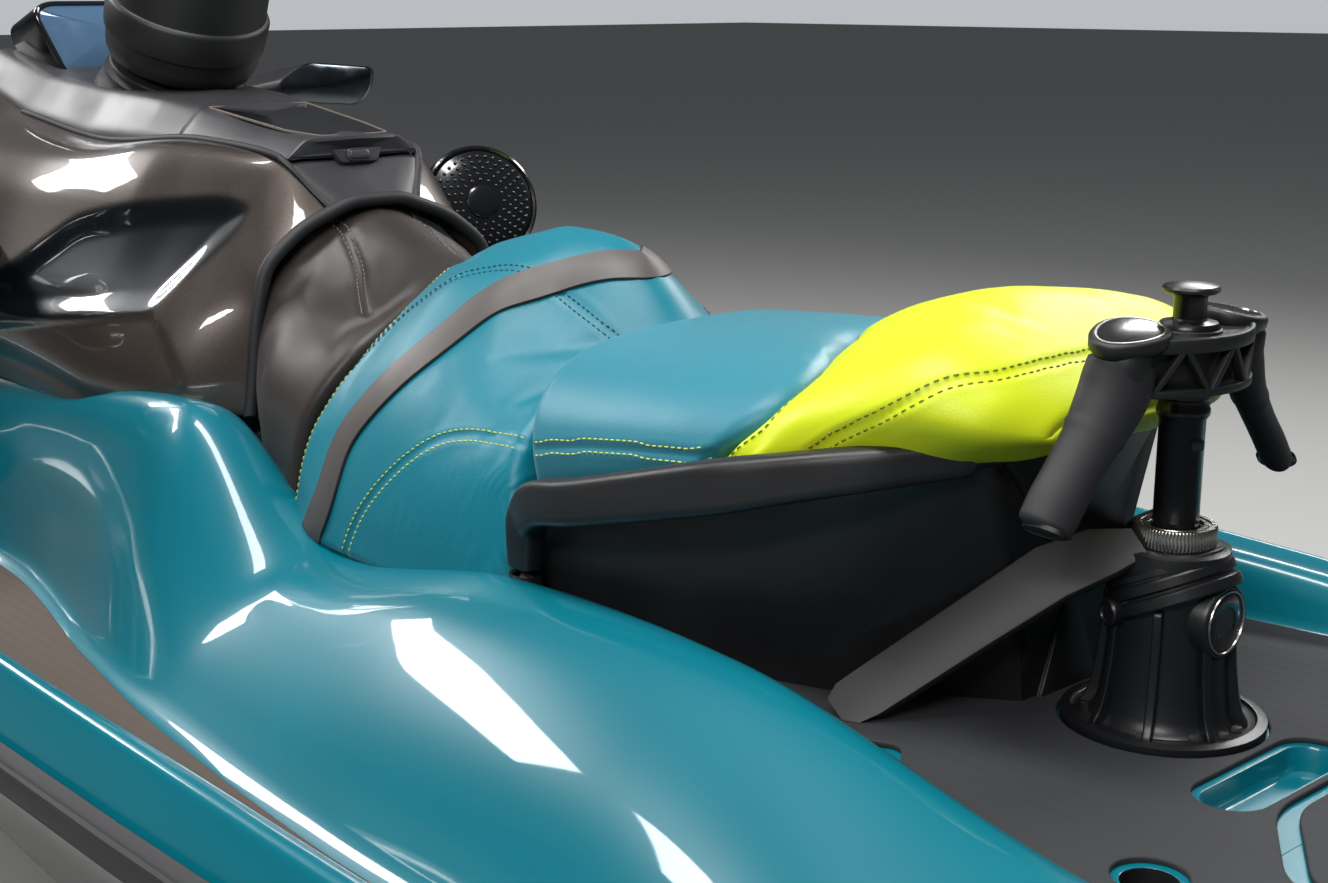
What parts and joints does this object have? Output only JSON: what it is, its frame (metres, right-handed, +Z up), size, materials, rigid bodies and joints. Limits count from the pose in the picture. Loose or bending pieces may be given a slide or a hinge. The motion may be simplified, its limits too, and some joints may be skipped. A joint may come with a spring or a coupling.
{
  "type": "personal watercraft",
  "caption": "Three-seat jet-drive watercraft with a tow pylon, glovebox, front storage, steering and reverse bucket, afloat at its waterline.",
  "frame": {"origin": "on the centreline, amidships, at the waterline", "axes": "+X forward, +Y to port, +Z up"},
  "size_m": [3.451, 1.255, 1.138],
  "materials": {
    "hull_gelcoat": "moulded hull with a gloss black gelcoat",
    "teal_gelcoat": "moulded deck with a gloss teal gelcoat",
    "rail_rubber": "extruded black bumper",
    "engine_iron": "painted casting",
    "plate_alloy": "black coated casting",
    "grate_alloy": "cast and coated",
    "sponson_plastic": "moulded, fine texture",
    "pump_alloy": "cast",
    "eye_steel": "polished stainless",
    "bracket_plastic": "moulded",
    "well_mat_foam": "taupe foam mat, fine ribs",
    "platform_mat_foam": "charcoal foam mat",
    "lava_gloss": "metallic taupe grey, gloss",
    "console_plastic": "satin moulded grey",
    "gauge_plastic": "black display",
    "bin_plastic": "moulded",
    "speaker_plastic": "black, with a round grille",
    "shroud_plastic": "satin black moulding",
    "rail_plastic": "satin black moulding",
    "taupe_vinyl": "taupe grey marine vinyl",
    "teal_vinyl": "teal marine vinyl",
    "blue_vinyl": "blue-teal marine vinyl",
    "lime_vinyl": "lime marine vinyl",
    "strap_webbing": "woven webbing",
    "pylon_casting": "black coated casting",
    "strut_alloy": "dark grey coated",
    "ring_steel": "knurled stainless",
    "boot_rubber": "black bellows",
    "bar_alloy": "black coated tube",
    "pad_plastic": "satin black cover",
    "grip_rubber": "ribbed rubber",
    "lever_alloy": "black coated",
    "nozzle_alloy": "cast",
    "bucket_alloy": "black coated casting",
    "impeller_steel": "stainless",
    "lid_plastic": "satin grey moulding",
    "hood_gloss": "gloss black and teal moulding",
    "mirror_plastic": "gloss black shell",
    "mirror_glass": "silvered",
    "post_alloy": "black anodised tube",
    "head_plastic": "black glass-filled moulding",
    "mast_grip_rubber": "satin rubber over the frame",
    "step_steel": "black coated tube"
  },
  "bodies": {
    "craft": {"hull": "hull_gelcoat", "deck": "teal_gelcoat", "footwells": "teal_gelcoat", "bow_deck": "teal_gelcoat", "rub_rail": "rail_rubber", "engine": "engine_iron", "ride_plate": "plate_alloy", "intake_grate": "grate_alloy", "sponsons": "sponson_plastic", "pump_housing": "pump_alloy", "tow_eyes": "eye_steel", "step_brackets": "bracket_plastic", "footwell_mats": "well_mat_foam", "platform_mat": "platform_mat_foam", "side_panels": "lava_gloss", "console": "console_plastic", "gauge": "gauge_plastic", "storage_bin": "bin_plastic", "speakers": "speaker_plastic", "seat_shroud": "shroud_plastic", "grab_rails": "rail_plastic", "knee_pad": "taupe_vinyl", "driver_seat": "teal_vinyl", "passenger_seat": "blue_vinyl", "seat_bolster": "lime_vinyl", "seat_strap": "strap_webbing", "pylon_base": "pylon_casting", "pylon_struts": "strut_alloy", "pylon_ring": "ring_steel", "steering_boot": "boot_rubber"},
    "handlebar": {"handlebar": "bar_alloy", "steering_pad": "pad_plastic", "grips": "grip_rubber", "levers": "lever_alloy"},
    "nozzle": {"nozzle": "nozzle_alloy"},
    "bucket": {"reverse_bucket": "bucket_alloy"},
    "impeller": {"impeller": "impeller_steel"},
    "glovebox_lid": {"glovebox_lid": "lid_plastic"},
    "storage_lid": {"storage_lid": "hood_gloss", "mirrors": "mirror_plastic", "mirror_glass": "mirror_glass"},
    "pylon_mast": {"pylon_post": "post_alloy", "pylon_head": "head_plastic", "pylon_grips": "mast_grip_rubber"},
    "boarding_step": {"boarding_step": "step_steel"}
  },
  "joints": [
    {"name": "steering", "type": "hinge", "parent": "craft", "child": "handlebar", "pos_m": [0.313, 0, 0.635], "axis": [-0.4226, 0, 0.9063], "range_deg": [-22, 22]},
    {"name": "nozzle_turn", "type": "hinge", "parent": "craft", "child": "nozzle", "pos_m": [-1.545, 0, -0.13], "axis": [0, 0, 1], "range_deg": [-20, 20]},
    {"name": "bucket_swing", "type": "hinge", "parent": "craft", "child": "bucket", "pos_m": [-1.47, 0, -0.13], "axis": [0, -1, 0], "range_deg": [0, 72]},
    {"name": "impeller_spin", "type": "hinge", "parent": "craft", "child": "impeller", "pos_m": [-1.265, 0, -0.13], "axis": [1, 0, 0], "continuous": true},
    {"name": "glovebox_hinge", "type": "hinge", "parent": "craft", "child": "glovebox_lid", "pos_m": [0.208, 0, 0.60093], "axis": [0, 1, 0], "range_deg": [0, 50]},
    {"name": "storage_hinge", "type": "hinge", "parent": "craft", "child": "storage_lid", "pos_m": [1.48, 0, 0.345], "axis": [0, 1, 0], "range_deg": [0, 55]},
    {"name": "pylon_lift", "type": "slide", "parent": "craft", "child": "pylon_mast", "axis": [0, 0, 1], "range_m": [0, 0.25]},
    {"name": "step_swing", "type": "hinge", "parent": "craft", "child": "boarding_step", "pos_m": [-1.7135, 0.33, -0.05], "axis": [0, -1, 0], "range_deg": [0, 170]}
  ],
  "couplings": [
    {"joint": "nozzle_turn", "follows": "steering", "ratio": -0.9}
  ]
}
